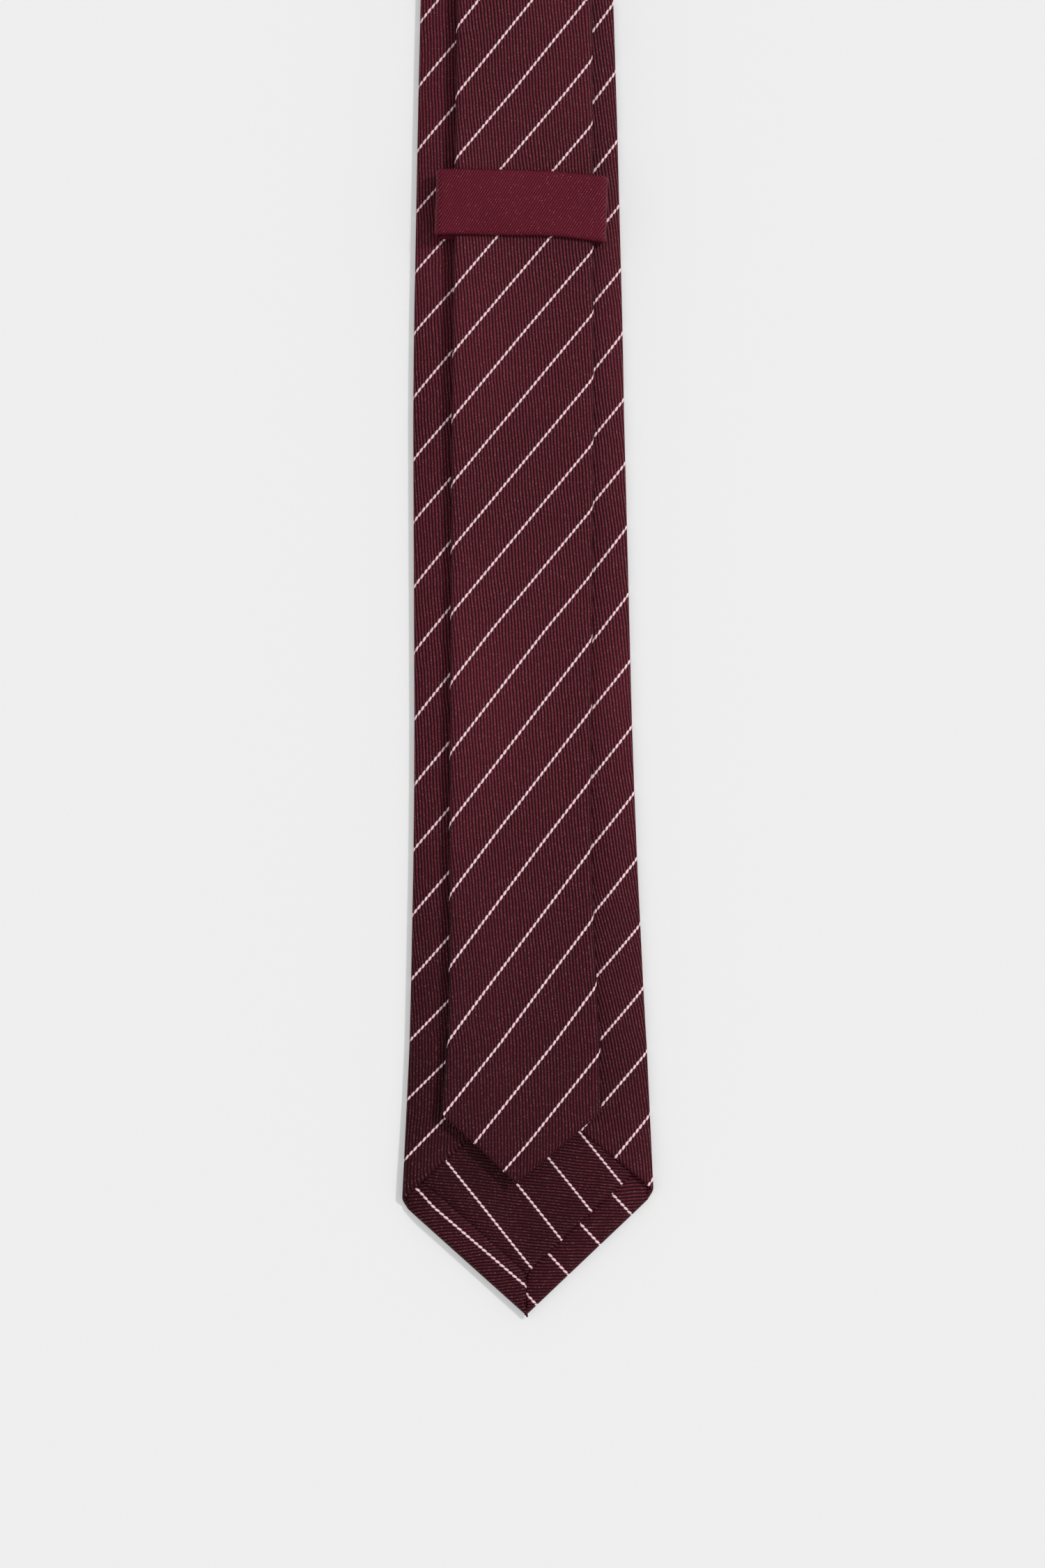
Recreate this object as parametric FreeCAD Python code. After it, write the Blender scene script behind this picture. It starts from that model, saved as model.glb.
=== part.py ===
import FreeCAD, Part
import math
import os

os.makedirs("parts", exist_ok=True)

# A slim silk necktie, laid face down and folded once at the neck, with its tail drawn through the keeper loop.
# X runs across the tie, Y from the blade's point to the neck fold, and Z up from the table it lies on.
# All lengths are in millimetres, and the origin is under the middle of the folded tie.

Vector = FreeCAD.Vector

# --- Overall sizes ---
folded_length = 746.0       # blade point to the outside of the neck fold
tail_setback = 31.6         # how far the tail's point stops short of the blade's point

# --- Widths along the blade, each at a distance from its point ---
blade_width = 60.0          # at the two corners of the point
blade_point_depth = 27.7
blade_lower_width = 55.5
blade_lower_at = 77.0
blade_waist_width = 52.4
blade_waist_at = 127.0
blade_middle_width = 50.0
blade_middle_at = 226.0
blade_upper_width = 45.9
blade_upper_at = 314.0

# --- Widths along the tail, each at a distance from its point ---
tail_width = 38.3
tail_point_depth = 17.0
tail_lower_width = 35.1
tail_lower_at = 49.0
tail_waist_width = 33.8
tail_waist_at = 98.0
tail_middle_width = 33.8
tail_middle_at = 180.0
tail_upper_width = 32.2
tail_upper_at = 282.0

# --- The neck band, one piece of cloth joined to the blade and to the tail ---
neck_width = 32.0
front_seam_to_fold = 60.0   # on the under layer
tail_seam_to_fold = 300.0   # on the upper layer
seam_slant = 45.0           # degrees, because the pieces are cut on the bias

# --- Layers ---
cloth = 0.45                # silk twill
interlining = 1.5           # brushed wool
tipping_cloth = 0.35
ease = 0.05                 # air between layers that lie on each other
thread = 0.3
seam_gap = 0.3              # slot that a row of stitching lies in
edge_round = 0.8            # outside of the long side folds

# --- Turned edges at the two points ---
blade_hem = 7.0
tail_hem = 6.0
blade_tipping_length = 95.0
tail_tipping_length = 60.0

# --- Bar tacks at the foot of the two centre seams ---
tack_length = 5.0
tack_width = 1.2
tack_rise = 0.4
tack_depth = 0.2
tack_above_flaps = 2.0

# --- Keeper loop ---
keeper_band = 0.9           # a strip of twill folded double
keeper_height = 15.6        # along the tie
keeper_from_point = 265.0   # its middle, from the blade's point
keeper_side_room = 2.55     # at each side of the tail
keeper_turn = -2.0          # degrees about Z
keeper_tack_spread = 7.0    # each tack from the middle
keeper_tack_length = 3.0
keeper_tack_rise = 0.1
slide_gap = 0.4             # over and under the tail

# --- Neck fold, round a hanger's bar ---
hanger_radius = 4.1
crown_run = 10.0            # level run behind the fold
fall_radius = 60.0
fall_angle = 6.0            # degrees, as the upper layer comes down to the tail

# --- Motion ---
slide_up = 10.0             # the tail drawn towards the neck
bend_clear = 13.0           # from the keeper's edge to the tail's bend, with the tail drawn up
bend_gap = 0.3

# --- Levels and places that follow from the sizes above ---
lining_low = cloth + ease
tipping_low = lining_low + interlining + ease
flap_low = tipping_low + tipping_cloth + ease
tie_thickness = flap_low + cloth
hem_top = tipping_low + cloth

keeper_low = tie_thickness + ease
tail_low = keeper_low + keeper_band + slide_gap
tail_top = tail_low + tie_thickness
keeper_top = tail_top + slide_gap + keeper_band

fold_radius = hanger_radius + tie_thickness
blade_point = -folded_length / 2
tail_point = blade_point + tail_setback
fold_centre = folded_length / 2 - fold_radius
front_seam = folded_length / 2 - front_seam_to_fold
tail_seam = folded_length / 2 - tail_seam_to_fold
keeper_middle = blade_point + keeper_from_point
tail_bend = keeper_middle - keeper_height / 2 - bend_clear - slide_up
reach = 4 * blade_width     # past everything, for cutting shapes


def blade_sides():
    """Distance from the point and half width, up to the neck seam."""
    run = front_seam - blade_point
    return [
        (blade_point_depth, blade_width / 2),
        (blade_lower_at, blade_lower_width / 2),
        (blade_waist_at, blade_waist_width / 2),
        (blade_middle_at, blade_middle_width / 2),
        (blade_upper_at, blade_upper_width / 2),
        (run, neck_width / 2),
        (run + neck_width, neck_width / 2),
    ]


def tail_sides():
    """Distance from the point and half width, up to the neck seam."""
    run = tail_seam - tail_point
    return [
        (tail_point_depth, tail_width / 2),
        (tail_lower_at, tail_lower_width / 2),
        (tail_waist_at, tail_waist_width / 2),
        (tail_middle_at, tail_middle_width / 2),
        (tail_upper_at, tail_upper_width / 2),
        (run, neck_width / 2),
        (run + neck_width, neck_width / 2),
    ]


def plan_prism(point, sides, inset, low, high):
    """A pointed strip in plan, drawn in from its outline by inset, between two levels."""
    depth, half = sides[0]
    slope = depth / half
    tip = point + inset * math.hypot(1, slope)
    right = [Vector(half - inset, tip + (half - inset) * slope, low)]
    right += [Vector(w - inset, point + d, low) for d, w in sides[1:]]
    left = [Vector(-p.x, p.y, p.z) for p in right]
    apex = Vector(0, tip, low)
    edges = [
        Part.makeLine(apex, right[0]),
        side_edge(right),
        Part.makeLine(right[-1], left[-1]),
        side_edge(left),
        Part.makeLine(left[0], apex),
    ]
    wire = Part.Wire(Part.__sortEdges__(edges))
    return Part.Face(wire).extrude(Vector(0, 0, high - low))


def side_edge(points):
    """One long side: a smooth curve down to the neck, then straight."""
    curve = Part.BSplineCurve()
    curve.interpolate(points)
    return curve.toShape()


def chevron_prism(point, depth, half, shift, rising, low, high):
    """All that lies below a V whose arms run out at the point's own slope, rising or falling outwards."""
    slope = depth / half
    y_mid = point + shift
    y_out = y_mid + (reach * slope if rising else -reach * slope)
    corners = [
        Vector(0, y_mid, low),
        Vector(reach, y_out, low),
        Vector(reach, y_out - 4 * reach, low),
        Vector(-reach, y_out - 4 * reach, low),
        Vector(-reach, y_out, low),
    ]
    wire = Part.makePolygon(corners + corners[:1])
    return Part.Face(wire).extrude(Vector(0, 0, high - low))


def slant_prism(seam_y, side, low, high):
    """All that lies past a slanting seam: side is 1 for towards the neck, -1 for towards the point."""
    rise = reach * math.tan(math.radians(seam_slant))
    far = seam_y + side * 4 * (reach + rise)
    corners = [
        Vector(-reach, seam_y - rise, low),
        Vector(reach, seam_y + rise, low),
        Vector(reach, far, low),
        Vector(-reach, far, low),
    ]
    wire = Part.makePolygon(corners + corners[:1])
    return Part.Face(wire).extrude(Vector(0, 0, high - low))


def bar(x_size, y_low, y_high, z_low, z_high, x_middle=0.0):
    """A plain block centred on x_middle."""
    corner = Vector(x_middle - x_size / 2, y_low, z_low)
    return Part.makeBox(x_size, y_high - y_low, z_high - z_low, corner)


def round_sides(solid, radius, shortest):
    """Rounds the long top and bottom edges of a strip."""
    edges = [e for e in solid.Edges if e.Length > shortest and is_level(e)]
    return solid.makeFillet(radius, edges)


def is_level(edge):
    box = edge.BoundBox
    return box.ZLength < ease and box.YLength > box.XLength


def envelope(point, sides, hem):
    """The outer cloth, face down: folded round the lining, its two flaps meeting at a centre slot."""
    depth, half = sides[0]
    outer = plan_prism(point, sides, 0, 0, tie_thickness)
    outer = round_sides(outer, edge_round, depth * 4)
    hollow = plan_prism(point, sides, cloth, cloth, flap_low)
    open_point = chevron_prism(point, depth, half, 2 * depth, False, flap_low, tie_thickness + 1)
    y_end = point + sides[-1][0]
    slot = bar(seam_gap, point, y_end, flap_low - ease, tie_thickness + 1)
    cloth_shape = outer.cut(hollow).cut(open_point).cut(slot)
    drop = math.hypot(1, depth / half)
    turned = chevron_prism(point, depth, half, hem * drop, True, tipping_low, hem_top)
    inside = plan_prism(point, sides, cloth / 2, tipping_low, hem_top)
    return cloth_shape.fuse(inside.common(turned)).removeSplitter()


def lining(point, sides):
    """The wool strip inside, cut to the shape of the envelope."""
    inset = cloth + ease
    return plan_prism(point, sides, inset, lining_low, lining_low + interlining)


def tipping(point, sides, hem, length):
    """The panel that faces the inside of the point, from the turned edge to under the flaps."""
    depth, half = sides[0]
    drop = math.hypot(1, depth / half)
    top = tipping_low + tipping_cloth
    inside = plan_prism(point, sides, cloth + ease, tipping_low, top)
    edge = chevron_prism(point, depth, half, (hem + seam_gap) * drop, True, tipping_low - 1, top + 1)
    panel = inside.cut(edge)
    return panel.common(bar(reach, point, point + length, tipping_low - 1, top + 1))


def tipping_stitches(point, sides, hem):
    """The row of stitching in the slot between the turned edge and the tipping."""
    depth, half = sides[0]
    drop = math.hypot(1, depth / half)
    top = tipping_low + thread
    inside = plan_prism(point, sides, cloth + ease, tipping_low, top)
    outer = chevron_prism(point, depth, half, (hem + seam_gap) * drop, True, tipping_low - 1, top + 1)
    inner = chevron_prism(point, depth, half, hem * drop, True, tipping_low - 2, top + 2)
    return inside.common(outer).cut(inner)


def bar_tack(point, sides):
    """A short dense bar of thread across the two flaps, just above the foot of the centre seam."""
    depth, half = sides[0]
    y_low = point + 2 * depth + tack_above_flaps
    z_low = tie_thickness - tack_depth
    return bar(tack_length, y_low, y_low + tack_width, z_low, tie_thickness + tack_rise)


def slip_thread(point, sides):
    """The one long thread that closes the centre seam."""
    depth, half = sides[0]
    y_low = point + 2 * depth + tack_above_flaps + tack_width
    y_high = point + sides[-1][0]
    return bar(seam_gap - ease, y_low, y_high, flap_low + ease, tie_thickness - ease)


def face_up(shape):
    """Turns a strip made face down over, and lays it at the tail's level."""
    turned = shape.mirror(Vector(0, 0, 0), Vector(0, 0, 1))
    turned.translate(Vector(0, 0, tail_top))
    return turned


def neck_run(offset):
    """The neck band's side view at a depth below its face: along, round the fold, back and down."""
    fall = math.radians(fall_angle)
    outside = fold_radius - offset
    crown_end = fold_centre - crown_run
    high = 2 * fold_radius - offset
    convex = fall_radius - offset
    concave = fall_radius + offset
    drop = 2 * fold_radius - tail_top
    straight = (drop - 2 * fall_radius * (1 - math.cos(fall))) / math.sin(fall)
    crest_centre = Vector(0, crown_end, 2 * fold_radius - fall_radius)
    foot_y = crown_end - 2 * fall_radius * math.sin(fall) - straight * math.cos(fall)
    foot_centre = Vector(0, foot_y, tail_top + fall_radius)

    def on_crest(angle):
        return crest_centre + Vector(0, -convex * math.sin(angle), convex * math.cos(angle))

    def on_foot(angle):
        return foot_centre + Vector(0, concave * math.sin(angle), -concave * math.cos(angle))

    under_end = Vector(0, front_seam - neck_width, offset)
    under_fold = Vector(0, fold_centre, offset)
    beside_fold = Vector(0, fold_centre + outside, fold_radius)
    over_fold = Vector(0, fold_centre, high)
    over_end = Vector(0, tail_seam - neck_width, tail_top - offset)
    return [
        Part.makeLine(under_end, under_fold),
        Part.Arc(under_fold, beside_fold, over_fold).toShape(),
        Part.makeLine(over_fold, on_crest(0)),
        Part.Arc(on_crest(0), on_crest(fall / 2), on_crest(fall)).toShape(),
        Part.makeLine(on_crest(fall), on_foot(fall)),
        Part.Arc(on_foot(fall), on_foot(fall / 2), on_foot(0)).toShape(),
        Part.makeLine(on_foot(0), over_end),
    ]


def neck_layer(shallow, deep, width):
    """One layer of the neck band, between two depths below its face."""
    outside = neck_run(shallow)
    inside = neck_run(deep)
    ends = [
        Part.makeLine(outside[0].Vertexes[0].Point, inside[0].Vertexes[0].Point),
        Part.makeLine(outside[-1].Vertexes[-1].Point, inside[-1].Vertexes[-1].Point),
    ]
    wire = Part.Wire(Part.__sortEdges__(outside + inside + ends))
    layer = Part.Face(wire).extrude(Vector(width, 0, 0))
    layer.translate(Vector(-width / 2, 0, 0))
    return layer


def between_seams(layer):
    """Trims the neck band on the slant at its two seams."""
    under = slant_prism(front_seam + seam_gap / 2, -1, -1, tie_thickness + slide_gap / 2)
    over = slant_prism(tail_seam + seam_gap / 2, -1, tail_low - slide_gap / 2, tail_top + 1)
    return layer.cut(under).cut(over)


def neck_envelope():
    outer = neck_layer(0, tie_thickness, neck_width)
    hollow = neck_layer(cloth, flap_low, neck_width - 2 * cloth)
    slot = neck_layer(flap_low - ease, tie_thickness + ease, seam_gap)
    return between_seams(outer.cut(hollow).cut(slot))


def neck_lining():
    inset = cloth + ease
    return between_seams(neck_layer(lining_low, lining_low + interlining, neck_width - 2 * inset))


def neck_slip_thread():
    return between_seams(neck_layer(flap_low + ease, tie_thickness - ease, seam_gap - ease))


def seam_thread(seam_y, low):
    """The line of stitching that joins two pieces of face cloth on the slant."""
    rise = math.tan(math.radians(seam_slant))
    half = neck_width / 2 - cloth
    corners = [
        Vector(-half, seam_y - half * rise - seam_gap / 2, low),
        Vector(half, seam_y + half * rise - seam_gap / 2, low),
        Vector(half, seam_y + half * rise + seam_gap / 2, low),
        Vector(-half, seam_y - half * rise + seam_gap / 2, low),
    ]
    wire = Part.makePolygon(corners + corners[:1])
    return Part.Face(wire).extrude(Vector(0, 0, thread))


def keeper_ring(width, low, high):
    """A flat ring seen from its end, with fully rounded sides, from one face to the other."""
    radius = (high - low) / 2
    flat = width / 2 - radius
    middle = (low + high) / 2
    edges = [
        Part.makeLine(Vector(-flat, 0, low), Vector(flat, 0, low)),
        Part.Arc(Vector(flat, 0, low), Vector(flat + radius, 0, middle), Vector(flat, 0, high)).toShape(),
        Part.makeLine(Vector(flat, 0, high), Vector(-flat, 0, high)),
        Part.Arc(Vector(-flat, 0, high), Vector(-flat - radius, 0, middle), Vector(-flat, 0, low)).toShape(),
    ]
    face = Part.Face(Part.Wire(edges))
    ring = face.extrude(Vector(0, keeper_height, 0))
    ring.translate(Vector(0, keeper_middle - keeper_height / 2, 0))
    return ring


def turn_with_keeper(shape):
    shape.rotate(Vector(0, keeper_middle, 0), Vector(0, 0, 1), keeper_turn)
    return shape


def keeper_loop():
    widest = max(tail_middle_width, tail_upper_width)
    inner_width = widest + 2 * keeper_side_room
    outer = keeper_ring(inner_width + 2 * keeper_band, keeper_low, keeper_top)
    inner = keeper_ring(inner_width, keeper_low + keeper_band, keeper_top - keeper_band)
    return turn_with_keeper(outer.cut(inner))


def keeper_tacks():
    """Two short bars of thread that sew the keeper's under side to the back of the blade."""
    y_low = keeper_middle - tack_width / 2
    y_high = keeper_middle + tack_width / 2
    z_low = tie_thickness - tack_depth
    z_high = keeper_low + keeper_band + keeper_tack_rise
    tacks = []
    for side in (-1, 1):
        tacks.append(bar(keeper_tack_length, y_low, y_high, z_low, z_high, side * keeper_tack_spread))
    return turn_with_keeper(Part.makeCompound(tacks))


def split_at_bend(shape):
    """Parts a strip of the tail at its bend: the run to the neck, and the free end."""
    upper = bar(reach, tail_bend + bend_gap / 2, folded_length, -1, keeper_top)
    lower = bar(reach, -folded_length, tail_bend - bend_gap / 2, -1, keeper_top)
    return shape.common(upper), shape.common(lower)


def save(name, shape):
    """Writes one sub-part, after a look at its solids."""
    solids = shape.Solids
    whole = solids[0] if len(solids) == 1 else Part.makeCompound(solids)
    if not solids or not whole.isValid():
        raise ValueError(name + " is not a sound solid")
    whole.exportStep("parts/" + name + ".step")
    box = whole.BoundBox
    size = " x ".join("%.1f" % v for v in (box.XLength, box.YLength, box.ZLength))
    print("%-26s %2d solid, %s mm, %.0f mm3" % (name, len(solids), size, whole.Volume))


def make_blade():
    sides = blade_sides()
    end = slant_prism(front_seam - seam_gap / 2, 1, -1, tie_thickness + 1)
    save("blade_envelope", envelope(blade_point, sides, blade_hem).cut(end))
    save("blade_interlining", lining(blade_point, sides).cut(end))
    save("blade_tipping", tipping(blade_point, sides, blade_hem, blade_tipping_length))
    save("blade_tipping_stitches", tipping_stitches(blade_point, sides, blade_hem))
    save("blade_bar_tack", bar_tack(blade_point, sides))
    save("blade_slip_thread", slip_thread(blade_point, sides).cut(end))
    save("front_neck_seam_thread", seam_thread(front_seam, 0))


def make_keeper():
    save("keeper_loop", keeper_loop())
    save("keeper_tacks", keeper_tacks())


def make_neck():
    save("neck_envelope", neck_envelope())
    save("neck_interlining", neck_lining())
    save("neck_slip_thread", neck_slip_thread())


def make_tail():
    sides = tail_sides()
    end = slant_prism(tail_seam - seam_gap / 2, 1, -1, keeper_top)
    cloth_upper, cloth_lower = split_at_bend(face_up(envelope(tail_point, sides, tail_hem)).cut(end))
    wool_upper, wool_lower = split_at_bend(face_up(lining(tail_point, sides)).cut(end))
    thread_upper, thread_lower = split_at_bend(face_up(slip_thread(tail_point, sides)).cut(end))
    save("tail_envelope", cloth_upper)
    save("tail_interlining", wool_upper)
    save("tail_slip_thread", thread_upper)
    save("tail_neck_seam_thread", seam_thread(tail_seam, tail_top - thread))
    save("tail_end_envelope", cloth_lower)
    save("tail_end_interlining", wool_lower)
    save("tail_end_slip_thread", thread_lower)
    save("tail_tipping", face_up(tipping(tail_point, sides, tail_hem, tail_tipping_length)))
    save("tail_tipping_stitches", face_up(tipping_stitches(tail_point, sides, tail_hem)))
    save("tail_bar_tack", face_up(bar_tack(tail_point, sides)))


make_blade()
make_keeper()
make_neck()
make_tail()
print("fold centre y %.3f z %.3f, inner radius %.2f" % (fold_centre, fold_radius, hanger_radius))
print("tail bend y %.3f, tail top z %.3f, tail under z %.3f" % (tail_bend, tail_top, tail_low))
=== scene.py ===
import math
import bmesh
import bpy
import numpy as np
from mathutils import Matrix, Vector


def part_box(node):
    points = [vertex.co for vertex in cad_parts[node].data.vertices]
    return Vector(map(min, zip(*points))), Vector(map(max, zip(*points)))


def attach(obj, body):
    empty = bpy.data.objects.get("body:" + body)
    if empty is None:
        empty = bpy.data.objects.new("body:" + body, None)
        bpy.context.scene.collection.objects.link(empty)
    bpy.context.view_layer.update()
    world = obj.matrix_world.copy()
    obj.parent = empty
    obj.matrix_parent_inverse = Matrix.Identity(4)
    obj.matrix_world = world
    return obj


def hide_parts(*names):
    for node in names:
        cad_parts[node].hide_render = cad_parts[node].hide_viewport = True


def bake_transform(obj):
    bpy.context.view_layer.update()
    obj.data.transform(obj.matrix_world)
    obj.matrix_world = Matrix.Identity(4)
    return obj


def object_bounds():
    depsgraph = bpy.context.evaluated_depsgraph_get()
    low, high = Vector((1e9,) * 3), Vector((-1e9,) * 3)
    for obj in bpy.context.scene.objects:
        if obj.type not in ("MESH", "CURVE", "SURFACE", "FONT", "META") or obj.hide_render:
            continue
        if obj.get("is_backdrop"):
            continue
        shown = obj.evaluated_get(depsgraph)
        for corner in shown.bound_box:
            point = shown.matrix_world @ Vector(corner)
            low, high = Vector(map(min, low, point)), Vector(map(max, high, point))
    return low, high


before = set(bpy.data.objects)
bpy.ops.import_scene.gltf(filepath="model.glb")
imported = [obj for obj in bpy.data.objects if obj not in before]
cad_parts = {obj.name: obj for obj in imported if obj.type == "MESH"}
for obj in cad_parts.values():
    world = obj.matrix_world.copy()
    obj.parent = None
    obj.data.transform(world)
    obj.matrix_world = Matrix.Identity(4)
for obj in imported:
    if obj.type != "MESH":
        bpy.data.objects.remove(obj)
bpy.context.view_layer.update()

# ---------------------------------------------------------------------------------------------
# The camera hangs straight over the tie's lower half and is turned a touch, because the tie
# doesn't lie quite square. The table is a smooth pale sheet that glows a little. It is lit by
# one broad lamp beyond the tie's right side and by even light from all round.
# ---------------------------------------------------------------------------------------------
MM = 0.001
point_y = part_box("blade_envelope")[0].y
view_height = 374 * MM
view_middle = (-0.3 * MM, point_y + 126.6 * MM)
view_turn = math.radians(-0.5)
lamp_turn = (math.radians(-19), math.radians(38), 0)
room_light = 0.615
table_drop = 0.1 * MM
table_glow = 0.255

camera_data = bpy.data.cameras.new("camera")
camera_data.sensor_width = 36
camera_data.lens = 120
camera = bpy.data.objects.new("camera", camera_data)
camera_rise = view_height * camera_data.lens / camera_data.sensor_width
camera.location = (*view_middle, camera_rise)
camera.rotation_euler = (0, 0, view_turn)
bpy.context.scene.collection.objects.link(camera)
bpy.context.scene.camera = camera

lamp_data = bpy.data.lights.new("lamp", "SUN")
lamp_data.energy = 1.40
lamp_data.angle = math.radians(5)
lamp = bpy.data.objects.new("lamp", lamp_data)
lamp.rotation_euler = lamp_turn
bpy.context.scene.collection.objects.link(lamp)

world = bpy.data.worlds.new("room")
bpy.context.scene.world = world
world.use_nodes = True
room = world.node_tree.nodes["Background"]
room.inputs["Color"].default_value = (1, 1, 1, 1)
room.inputs["Strength"].default_value = room_light
bpy.context.scene.view_settings.view_transform = "Standard"


class Shade:
    """A material's nodes. One of its values can be added to, multiplied or compared like a number."""

    def __init__(self, tree, socket=None):
        self.tree = tree
        self.socket = socket

    def node(self, kind, settings, values, output=0):
        made = self.tree.nodes.new(kind)
        for name, setting in settings.items():
            setattr(made, name, setting)
        for name, value in values.items():
            if isinstance(value, Shade):
                self.tree.links.new(value.socket, made.inputs[name])
            else:
                made.inputs[name].default_value = value
        return Shade(self.tree, made.outputs[output])

    def math(self, operation, a, b=0.0):
        return self.node("ShaderNodeMath", {"operation": operation}, {0: a, 1: b})

    def __add__(self, other):
        return self.math("ADD", self, other)

    def __sub__(self, other):
        return self.math("SUBTRACT", self, other)

    def __rsub__(self, other):
        return self.math("SUBTRACT", other, self)

    def __mul__(self, other):
        return self.math("MULTIPLY", self, other)

    __radd__ = __add__
    __rmul__ = __mul__

    def above(self, low, high):
        """0 below low, 1 above high, and smooth between them."""
        kept = {"Value": self, "From Min": low, "From Max": high}
        return self.node("ShaderNodeMapRange", {"interpolation_type": "SMOOTHSTEP"}, kept)

    def wave(self):
        """From 0 to 1 and back, once for each whole number."""
        return 0.5 + 0.5 * self.math("COSINE", self * math.tau)

    def part(self, axis):
        """One of a place's three numbers."""
        return self.node("ShaderNodeSeparateXYZ", {}, {0: self}, axis)

    def mixed(self, share, first, second):
        """One colour over another, by share."""
        return self.node("ShaderNodeMix", {"data_type": "RGBA"}, {0: share, 6: first, 7: second}, 2)

    def bump(self, height, strength=1.0):
        """A surface that stands out by its height in millimetres."""
        kept = {"Height": height, "Distance": 1 * MM, "Strength": strength}
        return self.node("ShaderNodeBump", {}, kept)


def start_material(name, roughness):
    """A new material, its maker and its shader, with what is the same all over it set on the shader."""
    material = bpy.data.materials.new(name)
    material.use_nodes = True
    shader = material.node_tree.nodes["Principled BSDF"]
    shader.inputs["Roughness"].default_value = roughness
    return material, Shade(material.node_tree), shader


def plug(shader, name, value):
    shader.id_data.links.new(value.socket, shader.inputs[name])


table_sheet = bmesh.new()
bmesh.ops.create_grid(table_sheet, x_segments=1, y_segments=1, size=6)
bmesh.ops.translate(table_sheet, verts=table_sheet.verts, vec=(0, 0, -table_drop))
table_mesh = bpy.data.meshes.new("table")
table_sheet.to_mesh(table_mesh)
table = bpy.data.objects.new("table", table_mesh)
bpy.context.scene.collection.objects.link(table)
table_paint, grain, table_shader = start_material("table_paint", 0.9)
place = grain.node("ShaderNodeTexCoord", {}, {}, "Object")
cloud = grain.node("ShaderNodeTexNoise", {}, {"Vector": place, "Scale": 3.0})
plug(table_shader, "Base Color", grain.mixed(cloud, (0.63, 0.63, 0.63, 1), (0.635, 0.635, 0.635, 1)))
table_shader.inputs["Emission Color"].default_value = (1, 1, 1, 1)
table_shader.inputs["Emission Strength"].default_value = table_glow
table_mesh.materials.append(table_paint)
table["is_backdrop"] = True

# ---------------------------------------------------------------------------------------------
# The blade's outer cloth: one piece of striped silk twill, cut on the bias. Its hem is turned
# in along both sides of the point, and then its two long sides are folded round the lining and
# meet in a seam down the middle of the back. The tie lies face down, so the back is on top.
# ---------------------------------------------------------------------------------------------
CLOTH = 0.45                # thickness of the silk
tie_height = 2.9            # face to back, away from the points
blade_depth = 27.7          # from the corners to the point
blade_hem = 7.0
blade_tip_fold = 2.5        # thickness of the folded hem at the point
blade_flap_fold = 1.45      # and where the sides cover it
blade_middle_lift, blade_side_lift = 0.12, 0.27     # of the back over the turned hem, as shares
blade_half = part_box("blade_envelope")[1].x / MM
blade_slant = math.atan2(blade_depth, blade_half)
corner_y = point_y / MM + blade_depth

stripe_gap = 10.0           # between two stripes, square to them
stripe_lean = math.radians(51.7)
bead_pitch = 1.4            # along a stripe
bead_half_width = 0.33
bead_half_length = 0.80
bead_twist = math.radians(11)
rib_pitch = 0.76
rib_lean = math.radians(5.5)
rib_wander = 0.9            # how far a rib strays, in ribs
float_length = 0.24         # of the threads that show along a rib
silk_groove = (0.007, 0.0006, 0.0014, 1)
silk_ridge = (0.154, 0.0190, 0.0335, 1)
silk_glint = (0.36, 0.17, 0.19, 1)
stripe_pink = (0.94, 0.70, 0.75, 1)
bead_painted_shade = (0.42, 0.20, 0.25, 1)
# Near-black wine that painted shade mixes into the silk.
painted_shade_wine = (0.004, 0.0004, 0.001, 1)
shade_from, shade_full = -0.230, -0.350       # from and to where painted shade darkens the silk towards the point, in metres


def grid_cloth(columns, rows):
    """A flat cloth from -1 to 1 both ways."""
    cloth = bmesh.new()
    bmesh.ops.create_grid(cloth, x_segments=columns, y_segments=rows, size=1)
    return cloth


def positions(cloth):
    """Each vertex's x, y and z, as three arrays."""
    return np.array([v.co for v in cloth.verts]).T


def move(cloth, x, y, z):
    for vert, place in zip(cloth.verts, zip(x, y, z)):
        vert.co = place


def crease(cloth, point, across, cut=False):
    """A line of edges across a flat cloth, square to across. With cut, what lies beyond it goes."""
    everything = cloth.verts[:] + cloth.edges[:] + cloth.faces[:]
    bmesh.ops.bisect_plane(
        cloth, geom=everything, dist=1e-5, plane_co=point, plane_no=across, clear_outer=cut
    )


def remember_cloth(cloth, u, v, turn=0.0, shift=0.0):
    """Keeps each point's place in the flat cloth, in metres, turned and shifted as it was cut."""
    turn = np.radians(turn)
    woven_u = (u * np.cos(turn) + v * np.sin(turn)) * MM
    woven_v = (v * np.cos(turn) - u * np.sin(turn) + shift) * MM
    layer = cloth.loops.layers.uv.new("cloth")
    cloth.verts.index_update()
    for face in cloth.faces:
        for loop in face.loops:
            loop[layer].uv = (woven_u[loop.vert.index], woven_v[loop.vert.index])


def finish_piece(name, mesh_maker, material, thickness=0.0):
    """Turns a bmesh in millimetres into a smooth piece in metres, with a thickness if it is cloth."""
    bmesh.ops.scale(mesh_maker, vec=(MM, MM, MM), verts=mesh_maker.verts)
    for face in mesh_maker.faces:
        face.smooth = True
    mesh = bpy.data.meshes.new(name)
    mesh_maker.to_mesh(mesh)
    mesh_maker.free()
    mesh.materials.append(material)
    piece = bpy.data.objects.new(name, mesh)
    bpy.context.scene.collection.objects.link(piece)
    if thickness:
        wall = piece.modifiers.new("thickness", "SOLIDIFY")
        wall.thickness = thickness * MM
        wall.offset = -1
    return piece


def half_widths(*nodes):
    """Where a lining's right side runs, as places along it and distances from its middle."""
    found = [v.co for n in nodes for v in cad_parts[n].data.vertices if v.co.x > 0]
    inset = CLOTH + 0.05
    line = sorted((c.y / MM, c.x / MM + inset) for c in found)
    return np.array(line).T


def smooth(value, low, high):
    share = np.clip((value - low) / (high - low), 0, 1)
    return share * share * (3 - 2 * share)


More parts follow.
